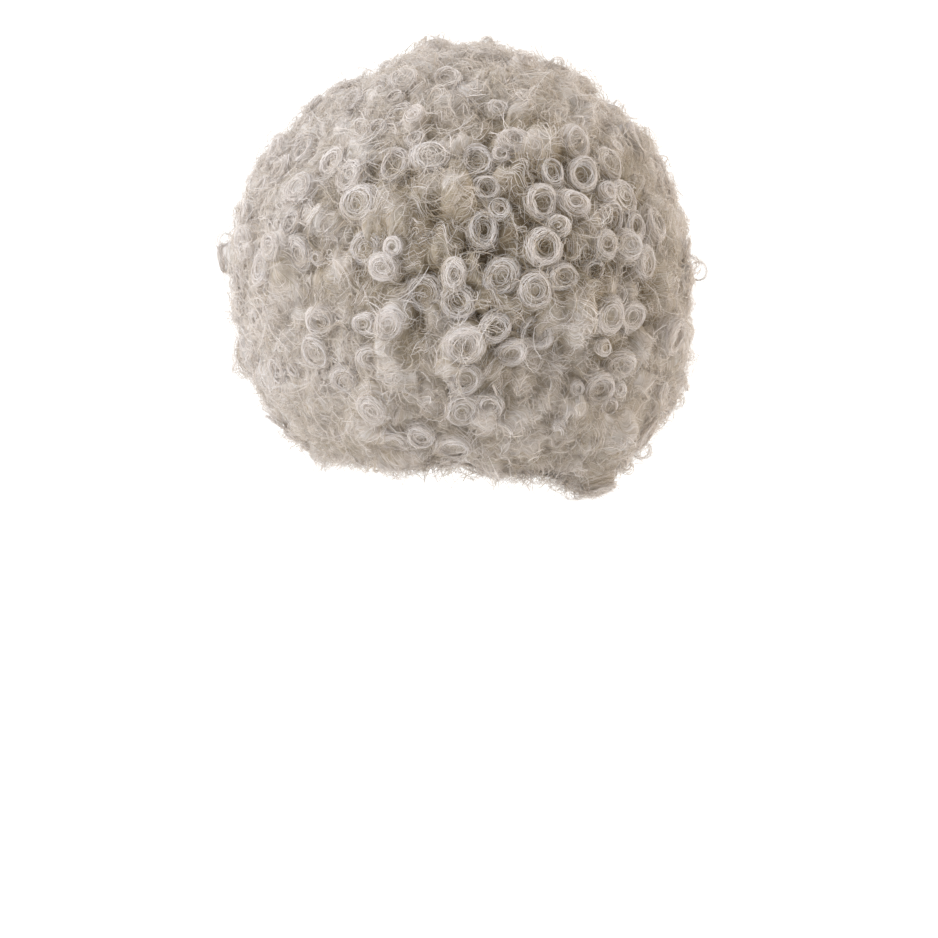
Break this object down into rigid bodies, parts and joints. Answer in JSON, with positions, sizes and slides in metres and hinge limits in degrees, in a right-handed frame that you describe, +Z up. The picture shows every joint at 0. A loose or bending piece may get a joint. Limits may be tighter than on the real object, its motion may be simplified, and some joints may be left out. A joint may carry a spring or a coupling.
{
  "type": "curly granny wig",
  "caption": "Full, round wig of tight silver-grey ringlets on a hollow stretch cap with an elastic edge, open at the face and neck.",
  "frame": {"origin": "where the crown of the head meets the inside of the cap", "axes": "+Z up out of the crown, -Y towards the face, +X to the wearer's left"},
  "size_m": [0.3364, 0.3101, 0.3179],
  "materials": {
    "hair": "curled silver-grey synthetic fibre with a soft sheen",
    "cap_net": "matt stretch net",
    "elastic": "matt woven elastic tape"
  },
  "bodies": {
    "root": {"cap": "cap_net", "edge_band": "elastic", "crown_tuft": "hair", "weft_1": "hair", "weft_2": "hair", "weft_3": "hair", "weft_4": "hair", "weft_5": "hair", "weft_6": "hair", "weft_7": "hair", "weft_8": "hair", "weft_9": "hair"}
  },
  "joints": []
}
